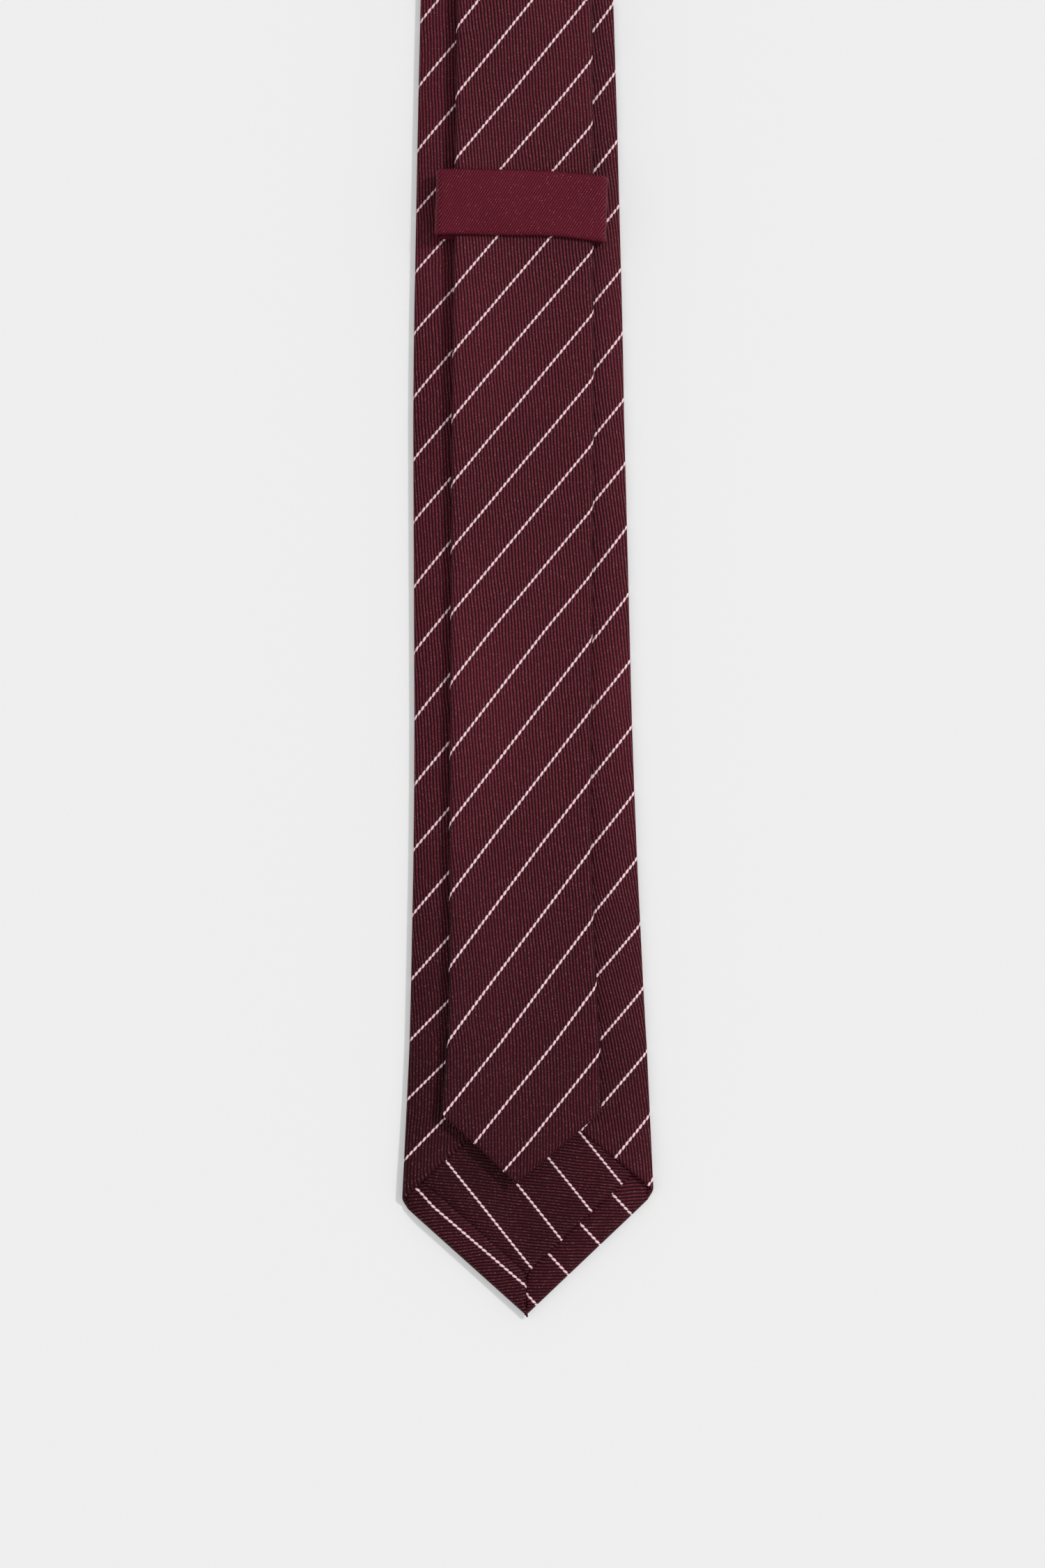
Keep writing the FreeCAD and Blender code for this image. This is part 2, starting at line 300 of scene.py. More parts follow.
def roll_profile(height, under=1.3, over=7.0, steps=28):
    """A rolled side edge seen from its end: distance round it, distance in from it, and height."""
    turn = np.linspace(0, math.pi / 2, steps)
    middle = height / 2
    inward = np.concatenate([under * (1 - np.sin(turn)), over * (1 - np.cos(turn[1:]))])
    rise = np.concatenate([middle * (1 - np.cos(turn)), middle + (height - middle) * np.sin(turn[1:])])
    round_it = np.concatenate([[0], np.cumsum(np.hypot(np.diff(inward), np.diff(rise)))])
    return round_it - round_it[steps - 1], inward, rise


def slope_along(run, around, rises):
    """How steeply a profile rises at each distance round it."""
    step = 0.02
    return (np.interp(run + step, around, rises) - np.interp(run - step, around, rises)) / (2 * step)


def wrap_sides(u, depth, half, height):
    """Folds a strip's sides over its lining. u is across the flat strip and depth inside its face."""
    around, inward, rise = roll_profile(tie_height)
    excess = -(inward[0] + around[0])
    run = np.abs(u) - half - excess
    before = np.minimum(run - around[0], 0)
    after = np.maximum(run - around[-1], 0)
    place_in = np.interp(run, around, inward) - before + after
    place_up = np.interp(run, around, rise)
    slope_in = slope_along(run, around, inward)
    slope_in = np.where(run < around[0], -1, np.where(run > around[-1], 1, slope_in))
    slope_up = slope_along(run, around, rise)
    x = np.sign(u) * (half - place_in - depth * slope_up)
    z = place_up * height / tie_height - depth * slope_in
    return x, z


def turn_hem(u, v, slant, corner, hem, tip_fold, flap_fold):
    """Turns the hem in along both sides of the point. Gives the new place and the depth inside the face."""
    side = np.where(u < 0, -1.0, 1.0)
    along = np.abs(u) * math.cos(slant) + v * math.sin(slant)
    beyond = np.abs(u) * math.sin(slant) - v * math.cos(slant)
    radius = tip_fold / 2 + (flap_fold - tip_fold) / 2 * smooth(along, corner - 7, corner)
    run = beyond + radius
    turn = np.clip(run / radius, 0, math.pi) - math.pi / 2
    past = np.maximum(run - math.pi * radius, 0)
    out = np.where(run < 0, beyond, radius * (np.cos(turn) - 1) - past)
    depth = np.where(run < 0, 0, radius * (1 + np.sin(turn)))
    tuck = smooth(-out, hem - 0.9, hem + 0.5) * (past > 0)
    depth = depth - 1.2 * tuck * (radius - flap_fold / 2)
    across = np.maximum(along * math.cos(slant) + out * math.sin(slant), 0)
    near_mitre = np.exp(-((across / 0.6) ** 2))
    depth = depth - 0.5 * near_mitre * (past > 0)
    return side * across, along * math.sin(slant) - out * math.cos(slant), depth


def crease_point(cloth, slant, hem, tip_fold):
    """Marks the fold lines of the point in the flat cloth, and cuts it to its hem and its mitre."""
    deepest = hem + 0.57 * tip_fold + 1.6
    for side in (-1, 1):
        across = (side * math.sin(slant), -math.cos(slant), 0)
        lines = [tip_fold / 2 * (k * math.pi / 8 - 1) for k in range(9)]
        lines += [deepest - 1.9, deepest - 1.4, deepest - 0.9, deepest - 0.4]
        for beyond in lines:
            crease(cloth, [beyond * a for a in across], across)
        crease(cloth, [deepest * a for a in across], across, cut=True)
        mitre = (side * -math.cos(2 * slant), -math.sin(2 * slant), 0)
        keep_to_side(cloth, side, mitre, 1.14 * tip_fold / 2 * math.sin(slant))


def keep_to_side(cloth, side, across, distance):
    """Cuts the mitre on one side of the middle line only."""
    half = [f for f in cloth.faces if f.calc_center_median().x * side > 0]
    edges = list({e for f in half for e in f.edges})
    verts = list({v for f in half for v in f.verts})
    point = [distance * a for a in across]
    bmesh.ops.bisect_plane(
        cloth, geom=verts + edges + half, dist=1e-5, plane_co=point, plane_no=across, clear_outer=True
    )


def rumple(x, y, size):
    """The slight unevenness of cloth that has been lying about."""
    first = np.sin(x / 9.0 + y / 31.0) * np.sin(y / 23.0 - x / 40.0)
    second = np.sin(x / 5.0 - y / 47.0 + 1.3)
    return size * (0.6 * first + 0.4 * second)


def start_silk(name):
    """A silk's material, its maker, its shader and its place in the flat cloth."""
    material, weave, shader = start_material(name, 0.5)
    shader.inputs["Specular IOR Level"].default_value = 0.16
    shader.inputs["Specular Tint"].default_value = (1.0, 0.55, 0.60, 1)
    return material, weave, shader, weave.node("ShaderNodeUVMap", {"uv_map": "cloth"}, {})


def cloudy(weave, flat, scale):
    """A soft unevenness over the flat cloth, from 0 to 1."""
    return weave.node("ShaderNodeTexNoise", {"noise_dimensions": "2D"}, {"Vector": flat, "Scale": scale})


def speckle(weave, x, y):
    """A tone of its own for each whole step of x and y."""
    cell = {"X": weave.math("FLOOR", x), "Y": weave.math("FLOOR", y)}
    where = weave.node("ShaderNodeCombineXYZ", {}, cell)
    return weave.node("ShaderNodeTexWhiteNoise", {"noise_dimensions": "2D"}, {"Vector": where})


def silk_twill(name, depth):
    """Ribbed silk in deep wine, with rope-like stripes of pale pink beads. Depth is painted shade on the
    ground.
    """
    material, weave, shader, flat = start_silk(name)
    u = flat.part("X") * (1 / MM)
    v = flat.part("Y") * (1 / MM)
    drift = cloudy(weave, flat, 90.0)
    broad = cloudy(weave, flat, 22.0)

    rib = (u * math.cos(rib_lean) + v * math.sin(rib_lean)) * (1 / rib_pitch) + (drift - 0.5) * rib_wander
    ridge = rib.wave()
    down = (v * math.cos(rib_lean) - u * math.sin(rib_lean)) * (1 / float_length)
    float_tone = speckle(weave, rib * 3, down + rib * 0.5)
    glint = float_tone.above(0.82, 1.0) * ridge.above(0.45, 1.0)
    place = weave.node("ShaderNodeTexCoord", {}, {}, "Object")
    down_tie = place.part("Y")
    # Painted shade: the silk grows darker towards the point, and darker on its left side than its right,
    # except at the very point.
    shade_side_lean = down_tie.above(-0.355, -0.340) * 7
    painted_point_shade = (1 - down_tie.above(shade_full, shade_from)) * (0.49 - place.part("X") * shade_side_lean)
    tone = ridge.above(0.08, 0.90) * (0.62 + float_tone * 0.5) + (broad - 0.5) * 0.30

    across = v * math.cos(stripe_lean) - u * math.sin(stripe_lean)
    along = u * math.cos(stripe_lean) + v * math.sin(stripe_lean) + (drift - 0.5) * 0.8
    stray = weave.math("FRACT", across * (1 / stripe_gap)) * stripe_gap - stripe_gap / 2
    step = weave.math("FRACT", along * (1 / bead_pitch)) - 0.5
    bead = None
    for shift in (-1, 0, 1):
        reach = (step + shift) * bead_pitch
        long_way = (reach * math.cos(bead_twist) + stray * math.sin(bead_twist)) * (1 / bead_half_length)
        short_way = (stray * math.cos(bead_twist) - reach * math.sin(bead_twist)) * (1 / bead_half_width)
        hump = 1 - (long_way * long_way + short_way * short_way)
        bead = hump if bead is None else weave.math("MAXIMUM", bead, hump)
    pink = bead.above(0.0, 0.30)

    ground = weave.mixed(weave.math("MINIMUM", tone, 1.0), silk_groove, silk_ridge)
    # Painted shade along the tail's folded edges.
    edge_shade = weave.node("ShaderNodeAttribute", {"attribute_name": "shaded_edge"}, {}, "Fac")
    # Painted shade towards the point, over the tipping by depth, and along the tail's folded edges.
    ground = weave.mixed(painted_point_shade + depth + edge_shade * 0.65, ground, painted_shade_wine)
    ground = weave.mixed(glint * 0.38, ground, silk_glint)
    # The beads' edges are painted darker than their middles, as shade on their rounded sides.
    thread = weave.mixed(bead.above(0.0, 0.7), bead_painted_shade, stripe_pink)
    plug(shader, "Base Color", weave.mixed(pink, ground, thread))
    plug(shader, "Roughness", 0.62 - ridge * 0.16)
    height = ridge * 0.10 + weave.math("MAXIMUM", bead, 0.0) * 0.22 + float_tone * 0.012
    plug(shader, "Normal", weave.bump(height, 0.8))
    return material


silk = silk_twill("striped_silk", 0.0)

blade_line = half_widths("blade_interlining")
blade_seam_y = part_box("blade_envelope")[1].y / MM - blade_line[1][-1]
blade_length = blade_seam_y - point_y / MM


def blade_half_at(v):
    kept = blade_line[0] >= corner_y - 0.1
    return np.interp(v + point_y / MM, blade_line[0][kept], blade_line[1][kept])


def strip_columns(share, half, reach_left, reach_right):
    """Spreads the flat strip's columns: close together where its sides roll over, wide elsewhere."""
    reach = np.where(share < 0, reach_left, reach_right)
    knots = (0, 0.30, 0.40, 0.74, 0.84, 1)
    places = [0 * half, half - 3.2, half - 1.3, half + 3.6, half + 8.6, half + reach]
    out = np.zeros_like(share)
    for k in range(5):
        inside = (np.abs(share) >= knots[k]) & (np.abs(share) <= knots[k + 1] + 1e-9)
        part = (np.abs(share) - knots[k]) / (knots[k + 1] - knots[k])
        out = np.where(inside, places[k] + (places[k + 1] - places[k]) * part, out)
    return np.where(share < 0, -out, out)


def strip_rows(share, low, fine_to, high):
    """Spreads the flat strip's rows: close together towards the point, wide further up."""
    return np.interp(share, (-1, -0.2, 1), (low, fine_to, high))


def chevron_lift(v, across, depth, slant, middle, sides):
    """How much higher the back stands near the point, where the turned hem lies under its edge."""
    inside = v - 2 * depth + np.abs(across) * math.tan(slant)
    return 1 + (middle + (sides - middle) * smooth(np.abs(across), 4, 16)) * (1 - smooth(inside, 4, 26))


def lap(x, z, u, half):
    """Lets the right side lie under the left one where the two meet at the middle of the back."""
    under = smooth(-x, -5.5, -1.5) * (u > 0) * (np.abs(u) > half + 6)
    return z - (CLOTH + 0.1) * under


def seam_dip(along, across, seam, slope):
    """How far cloth sinks beside a seam that crosses it at a slant."""
    off = (along - seam - slope * across) * math.sqrt(0.5)
    return 0.28 * np.exp(-((off / 0.55) ** 2))


def lie_blade(x, y):
    """The blade doesn't lie dead straight: it sways a little and its point is pulled askew."""
    sway = np.interp(y, (-373, -366, -345, -309, -159, -60), (-0.55, -0.4, 0.1, 0.46, -0.46, 0))
    askew = (1 - smooth(y, -345, -290)) * 0.030
    return x + sway, y + askew * x


def cut_size(cloth):
    """A flat cloth's width, length and area, in metres."""
    wide, long, _ = np.ptp(positions(cloth), axis=1) * MM
    return (float(wide), float(long)), sum(f.calc_area() for f in cloth.faces) * MM * MM


blade_mesh = grid_cloth(100, 250)
share_x, share_y, _ = positions(blade_mesh)
rows = strip_rows(share_y, -12, 70, blade_length + 2.2 * blade_half_at(blade_length))
half = blade_half_at(rows)
move(blade_mesh, strip_columns(share_x, half, half + 0.4, half + 3.5), rows, 0 * rows)
blade_corner = math.hypot(blade_depth, blade_half)
crease_point(blade_mesh, blade_slant, blade_hem, blade_tip_fold)
crease(blade_mesh, (0, blade_length - 0.1, 0), (-1, 1, 0), cut=True)
blade_flat, blade_area = cut_size(blade_mesh)
u, v, _ = positions(blade_mesh)
across, along, depth = turn_hem(
    u, v, blade_slant, blade_corner, blade_hem, blade_tip_fold, blade_flap_fold
)
half = blade_half_at(along)
height = tie_height * chevron_lift(
    along, across, blade_depth, blade_slant, blade_middle_lift, blade_side_lift
)
x, z = wrap_sides(across, depth + seam_dip(v, u, blade_length, 1), half, height)
z = lap(x, z, u, half) + rumple(x, along, 0.08) * smooth(z, 1.5, 2.5)

# Pressing stretches cloth that is cut on the bias, so the stripes drift as they go up the blade.
hem_pull = -3.0 * smooth(-u * math.sin(blade_slant) - v * math.cos(blade_slant), -2, 3)
blade_turn = hem_pull - 1.0 - 3.0 * (1 - smooth(v, 45, 110))
drift_at = (50, 65, 98, 114, 188, 218, 235, 275)
drift_by = (2.5, 3.8, 8.1, 8.9, 9.1, 10.8, 11.1, 13.8)
skew = np.interp(v, (50, 80, 120, 160), (0.028, 0.060, 0.032, 0))
blade_shift = np.interp(v, drift_at, drift_by) - skew * u
remember_cloth(blade_mesh, -u, v, blade_turn, blade_shift)
x, y = lie_blade(x, along + point_y / MM)
move(blade_mesh, x, y, z)
bmesh.ops.reverse_faces(blade_mesh, faces=blade_mesh.faces)
blade_cloth = finish_piece("blade_cloth", blade_mesh, silk, CLOTH)
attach(blade_cloth, "blade")
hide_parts("blade_envelope")

# ---------------------------------------------------------------------------------------------
# The blade's lining: a strip of thick brushed wool, cut to the tie's outline and laid loose in
# the folded silk. It gives the tie its body and is hidden all round.
# ---------------------------------------------------------------------------------------------
LINING = 1.2                # thickness of the wool
LINING_LOW = 0.5            # its underside, above the cloth's outer face
lining_inset = 2.0
seam_gap = 1.5              # it stops short of the slanting seams


def brushed_wool(name):
    """Undyed wool, brushed until its weave only just shows."""
    material, weave, shader = start_material(name, 0.95)
    shader.inputs["Sheen Weight"].default_value = 0.5
    flat = weave.node("ShaderNodeUVMap", {"uv_map": "cloth"}, {})
    fluff = weave.node("ShaderNodeTexNoise", {}, {"Vector": flat, "Scale": 900.0, "Detail": 4.0})
    clump = weave.node("ShaderNodeTexNoise", {}, {"Vector": flat, "Scale": 120.0, "Detail": 2.0})
    yarn = (flat.part("X") * 900).wave() * (flat.part("Y") * 900).wave()
    tone = fluff * 0.6 + clump * 0.4
    plug(shader, "Base Color", weave.mixed(tone, (0.55, 0.50, 0.43, 1), (0.85, 0.81, 0.74, 1)))
    plug(shader, "Normal", weave.bump(fluff * 0.3 + yarn * 0.1))
    return material


wool = brushed_wool("lining_wool")


def lining_strip(half_at, length, slant, corner):
    """A flat wool strip with a point at its lower end, and its cut size."""
    strip = grid_cloth(16, 160)
    share_x, share_y, _ = positions(strip)
    rows = strip_rows(share_y, 0, 60, length)
    move(strip, share_x * (half_at(rows) - lining_inset), rows, 0 * rows)
    for side in (-1, 1):
        across = (side * math.sin(slant), -math.cos(slant), 0)
        crease(strip, [-9 * a for a in across], across, cut=True)
        place = (side * (corner * math.cos(slant) - 11), corner * math.sin(slant), 0)
        crease(strip, place, (side, -0.35, 0), cut=True)
    flat, area = cut_size(strip)
    u, v, _ = positions(strip)
    remember_cloth(strip, u, v)
    return strip, flat, area


blade_lining_mesh, blade_lining_flat, blade_lining_area = lining_strip(
    blade_half_at, blade_length - seam_gap, blade_slant, blade_corner
)
u, v, _ = positions(blade_lining_mesh)
x, y = lie_blade(u, v + point_y / MM)
move(blade_lining_mesh, x, y, LINING_LOW + LINING + 0 * x)
blade_lining = finish_piece("blade_lining", blade_lining_mesh, wool, LINING)
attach(blade_lining, "blade")
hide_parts("blade_interlining")

# ---------------------------------------------------------------------------------------------
# The blade's tipping: a piece of the same silk, turned so that its stripes lean the other way,
# that fills the back of the point. It is sewn to the inner edge of the turned hem and runs up
# under the two sides.
# ---------------------------------------------------------------------------------------------
TIPPING = 0.35              # thickness of the tipping silk
tipping_turn = math.radians(76.5)
tipping_stretch = 1.05
tipping_shift = 5.3
# The tipping's silk is the same silk with painted shade over all of it.
shaded_tipping_silk = silk_twill("tipping_silk", 0.06)


def tipping_piece(reach_up, half_at, slant, hem, depth, cloth_top):
    """The tipping's mesh, relative to the point, with its face up, and its cut size."""
    strip = grid_cloth(120, 150)
    share_x, share_y, _ = positions(strip)
    rows = (share_y + 1) / 2 * reach_up
    move(strip, share_x * (half_at(rows) - 1.6), rows, 0 * rows)
    seam = hem - 1.0
    for side in (-1, 1):
        across = (side * math.sin(slant), -math.cos(slant), 0)
        for inner in (0.3, 0.6, 0.9, 1.2, 1.5, 1.8):
            crease(strip, [-(seam + inner) * a for a in across], across)
        crease(strip, [-seam * a for a in across], across, cut=True)
    flat, area = cut_size(strip)
    x, y, _ = positions(strip)
    off_seam = y * math.cos(slant) - np.abs(x) * math.sin(slant) - seam
    flap = y - 2 * depth + np.abs(x) * math.tan(slant)
    shown = 1 - smooth(flap, -6, 2)
    puff = 0.50 * smooth(off_seam, 0.8, 3.4) * (1 - smooth(off_seam, 3.6, 9)) * shown
    rise = cloth_top - 1.25 * (1 - smooth(off_seam, 0, 1.8)) + puff
    rise = rise - 0.50 * smooth(flap, 4, 22)
    rise = rise - 0.9 * smooth(np.abs(x), half_at(y) - 8, half_at(y) - 1.5) * smooth(flap, 0, 3)
    rise = np.maximum(rise, 0.95) + rumple(y, x, 0.10) * shown
    turned_u = x * math.cos(tipping_turn) + y * math.sin(tipping_turn)
    turned_v = y * math.cos(tipping_turn) - x * math.sin(tipping_turn)
    remember_cloth(strip, turned_u * tipping_stretch, turned_v * tipping_stretch, 0, tipping_shift)
    move(strip, x, y, rise)
    return strip, flat, area


blade_tipping_mesh, blade_tipping_flat, blade_tipping_area = tipping_piece(
    reach_up=95,
    half_at=blade_half_at,
    slant=blade_slant,
    hem=blade_hem,
    depth=blade_depth,
    cloth_top=2.2,
)
x, y, z = positions(blade_tipping_mesh)
x, y = lie_blade(x, y + point_y / MM)
move(blade_tipping_mesh, x, y, z)
blade_tipping = finish_piece("blade_back_tipping", blade_tipping_mesh, shaded_tipping_silk, TIPPING)
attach(blade_tipping, "blade")
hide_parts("blade_tipping")

# ---------------------------------------------------------------------------------------------
# The neck's outer cloth: the narrow strip between the blade and the tail, folded round its own
# lining like them. It lies face down, turns over at the fold where the tie hangs, and comes
# down again face up to meet the tail.
# ---------------------------------------------------------------------------------------------
neck_half = 16.0
fold_radius = 7.0
neck_fold_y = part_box("neck_envelope")[1].y / MM - fold_radius
tail_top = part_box("tail_envelope")[1].z / MM
seam_reach = 15.85          # from a slanting seam's middle up to its high end
tail_seam_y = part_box("tail_envelope")[1].y / MM - seam_reach
front_seam_y = blade_seam_y
fall_angle = math.radians(6)
fall_radius = 60
fall_arc = fall_radius * fall_angle
fall_height = 2 * fold_radius - tail_top
fall_run = (fall_height - 2 * fall_radius * (1 - math.cos(fall_angle))) / math.sin(fall_angle)
lower_run = neck_fold_y - front_seam_y
turn_lengths = (lower_run, math.pi * fold_radius, 10, fall_arc, fall_run, fall_arc, 400)
turn_headings = (0, 0, math.pi, math.pi, math.pi + fall_angle, math.pi + fall_angle, math.pi, math.pi)
turn_ends = np.concatenate([[0], np.cumsum(turn_lengths)])
path_step = 0.25
path_s = np.arange(-60, turn_ends[-1], path_step)
path_heading = np.interp(path_s, turn_ends, turn_headings)
path_start = np.searchsorted(path_s, 0)
path_y = np.cumsum(np.cos(path_heading)) * path_step
path_z = np.cumsum(np.sin(path_heading)) * path_step
path_y = path_y - path_y[path_start] + front_seam_y
path_z = path_z - path_z[path_start]
past_fold = path_start + 400        # the path's places above, where it runs down again
neck_length = float(np.interp(-tail_seam_y, -path_y[past_fold:], path_s[past_fold:]))


def along_neck(s, inside):
    """A point's y and z, from its distance along the neck and how far it is inside the face."""
    heading = np.interp(s, path_s, path_heading)
    y = np.interp(s, path_s, path_y) - inside * np.sin(heading)
    z = np.interp(s, path_s, path_z) + inside * np.cos(heading)
    return y, z


def bend_neck(piece):
    """Bakes a neck piece's place into its mesh."""
    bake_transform(piece)


neck_mesh = grid_cloth(64, 300)
share_x, share_y, _ = positions(neck_mesh)
rows = (share_y + 1) / 2 * (neck_length + 80) - 40
half = neck_half + 0 * rows
move(neck_mesh, strip_columns(share_x, half, half + 0.4, half + 3.5), rows, 0 * rows)
crease(neck_mesh, (0, 0.1, 0), (1, -1, 0), cut=True)
crease(neck_mesh, (0, neck_length - 0.1, 0), (-1, 1, 0), cut=True)
neck_flat, neck_area = cut_size(neck_mesh)
u, v, _ = positions(neck_mesh)
dips = seam_dip(v, u, 0, 1) + seam_dip(v, u, neck_length, 1)
half = neck_half + 0 * v
x, inside = wrap_sides(u, dips, half, tie_height + 0 * v)
inside = lap(x, inside, u, half) + rumple(x, v, 0.08)
y, z = along_neck(v, inside)
remember_cloth(neck_mesh, -u, v, -1.5, 0)
move(neck_mesh, x, y, z)
bmesh.ops.reverse_faces(neck_mesh, faces=neck_mesh.faces)
neck_cloth = finish_piece("neck_cloth", neck_mesh, silk, CLOTH)
bend_neck(neck_cloth)
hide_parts("neck_envelope")

# ---------------------------------------------------------------------------------------------
# The neck's lining: more of the brushed wool, laid in the neck's folded silk and turned over
# with it at the fold.
# ---------------------------------------------------------------------------------------------
neck_lining_mesh = grid_cloth(12, 200)
share_x, share_y, _ = positions(neck_lining_mesh)
rows = (share_y + 1) / 2 * (neck_length + 40) - 20
move(neck_lining_mesh, share_x * (neck_half - lining_inset), rows, 0 * rows)
crease(neck_lining_mesh, (0, seam_gap, 0), (1, -1, 0), cut=True)
crease(neck_lining_mesh, (0, neck_length - seam_gap, 0), (-1, 1, 0), cut=True)
neck_lining_flat, neck_lining_area = cut_size(neck_lining_mesh)
u, v, _ = positions(neck_lining_mesh)
remember_cloth(neck_lining_mesh, u, v)
y, z = along_neck(v, LINING_LOW + LINING)
move(neck_lining_mesh, u, y, z)
neck_lining = finish_piece("neck_lining", neck_lining_mesh, wool, LINING)
bend_neck(neck_lining)
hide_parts("neck_interlining")

# ---------------------------------------------------------------------------------------------
# The tail's outer cloth: the narrow end, made just as the blade is. It lies face up on the
# blade's back, drawn through the keeper, so its seam and its turned hem are underneath.
# ---------------------------------------------------------------------------------------------
tail_point_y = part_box("tail_end_envelope")[0].y / MM
tail_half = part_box("tail_end_envelope")[1].x / MM
tail_depth = 17.0
tail_hem = 6.0
tail_tip_fold = 2.2
tail_flap_fold = 0.95
tail_lift = 0.06
tail_slant = math.atan2(tail_depth, tail_half)
tail_corner = math.hypot(tail_depth, tail_half)
tail_line = half_widths("tail_interlining", "tail_end_interlining")
tail_length = tail_seam_y - tail_point_y


def tail_half_at(v):
    kept = (tail_line[0] >= tail_point_y + tail_depth - 0.1) & (tail_line[0] < tail_seam_y - 15)
    return np.interp(v + tail_point_y, tail_line[0][kept], tail_line[1][kept])


def lie_tail(x, y, inside):
    """The tail lies face up and sways from side to side. Below the keeper it sinks on to the blade."""
    places = (-341, -332, -308, -259, -226, -159, -60, 40)
    sway = np.interp(y, places, (-2.6, -1.8, -0.55, -0.95, -0.5, 0.5, 1.8, 0))
    sink = np.interp(y, (-341, -300, -270, -175, -142), (0.65, 0.65, 0.85, 0.85, 0))
    return x + sway, y, tail_top - sink - inside


def paint_edge_shade(cloth, share):
    """Keeps how near each point is to a folded edge, where painted shade darkens the silk."""
    layer = cloth.verts.layers.float.new("shaded_edge")
    for vert, value in zip(cloth.verts, share):
        vert[layer] = value


def bend_tail(piece):
    """Bakes a tail piece's place into its mesh."""
    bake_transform(piece)


tail_mesh = grid_cloth(96, 200)
share_x, share_y, _ = positions(tail_mesh)
rows = strip_rows(share_y, -10, 50, tail_length + 40)
half = tail_half_at(rows)
move(tail_mesh, strip_columns(share_x, half, half + 0.4, half + 3.5), rows, 0 * rows)
crease_point(tail_mesh, tail_slant, tail_hem, tail_tip_fold)
crease(tail_mesh, (0, tail_length - 0.1, 0), (-1, 1, 0), cut=True)
tail_flat, tail_area = cut_size(tail_mesh)
u, v, _ = positions(tail_mesh)
across, along, depth = turn_hem(u, v, tail_slant, tail_corner, tail_hem, tail_tip_fold, tail_flap_fold)
half = tail_half_at(along)
height = tie_height * chevron_lift(along, across, tail_depth, tail_slant, tail_lift, tail_lift)
x, inside = wrap_sides(across, depth + seam_dip(v, u, tail_length, 1), half, height)
inside = lap(x, inside, u, half)
x, y, z = lie_tail(-x, along + tail_point_y, inside)
z = z + rumple(x, y + 50, 0.10) * smooth(np.abs(y + 103), 34, 60)
tail_shift = np.interp(v, (10, 45, 132, 203, 259), (0.8, -1.2, -4.8, -2.5, 0.7))
remember_cloth(tail_mesh, -u, v, -0.5, tail_shift)
# Painted shade along both folded edges of the tail.
paint_edge_shade(tail_mesh, np.exp(-(((np.abs(across) - half - 0.5) / 0.7) ** 2)))
move(tail_mesh, x, y, z)
bmesh.ops.reverse_faces(tail_mesh, faces=tail_mesh.faces)
tail_cloth = finish_piece("tail_cloth", tail_mesh, silk, CLOTH)
bend_tail(tail_cloth)
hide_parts("tail_envelope", "tail_end_envelope")

# ---------------------------------------------------------------------------------------------
# The tail's lining: a strip of the same brushed wool, cut to the tail's outline and laid loose
# in its folded silk.
# ---------------------------------------------------------------------------------------------
tail_lining_mesh, tail_lining_flat, tail_lining_area = lining_strip(
    tail_half_at, tail_length - seam_gap, tail_slant, tail_corner
)
u, v, _ = positions(tail_lining_mesh)
x, y, z = lie_tail(-u, v + tail_point_y, LINING_LOW + LINING)
move(tail_lining_mesh, x, y, z)
tail_lining = finish_piece("tail_lining", tail_lining_mesh, wool, LINING)
bend_tail(tail_lining)
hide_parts("tail_interlining", "tail_end_interlining")

# ---------------------------------------------------------------------------------------------
# The tail's tipping: a short piece of the silk that fills the back of the narrow point, sewn
# to its hem as the blade's is. It faces down, towards the blade.
# ---------------------------------------------------------------------------------------------
tail_tipping_mesh, tail_tipping_flat, tail_tipping_area = tipping_piece(
    reach_up=60,
    half_at=tail_half_at,
    slant=tail_slant,
    hem=tail_hem,
    depth=tail_depth,
    cloth_top=1.95,
)
x, y, z = positions(tail_tipping_mesh)
x, y, z = lie_tail(-x, y + tail_point_y, z)
move(tail_tipping_mesh, x, y, z)
tail_tipping = finish_piece("tail_back_tipping", tail_tipping_mesh, shaded_tipping_silk, TIPPING)
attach(tail_tipping, "tail_end")
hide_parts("tail_tipping")

# ---------------------------------------------------------------------------------------------
# The keeper: a flat band of fine plain silk, folded into a double strip, that goes right round
# the tail and is tacked to the back of the blade.
# ---------------------------------------------------------------------------------------------
keeper_low, keeper_high = [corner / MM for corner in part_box("keeper_loop")]
keeper_middle = (keeper_low + keeper_high) / 2
keeper_band = 0.9           # thickness of the double strip
band_bend = 0.4             # radius of its rounded edges
keeper_height = 15.6        # up the tie
keeper_reach = 20.35        # from its middle to its side
keeper_half = keeper_reach - keeper_band / 2
keeper_rise = (keeper_high.z - keeper_low.z) / 2 - keeper_band / 2
keeper_turn = math.radians(-2)
keeper_bend = 1.0           # radius of its side folds
keeper_wall = 0.38          # thickness of its silk
keeper_aside = 0.6          # how far it is pushed to one side
keeper_drop = 1.5           # and down the tie
keeper_bow = 0.9            # how far its middle is pushed up the tie
keeper_groove = (0.052, 0.001, 0.0055, 1)
keeper_ridge = (0.180, 0.0155, 0.0375, 1)
keeper_glint = (0.50, 0.28, 0.30, 1)
twill_lean = math.radians(60)
twill_pitch = 0.55
twill_float = 0.34


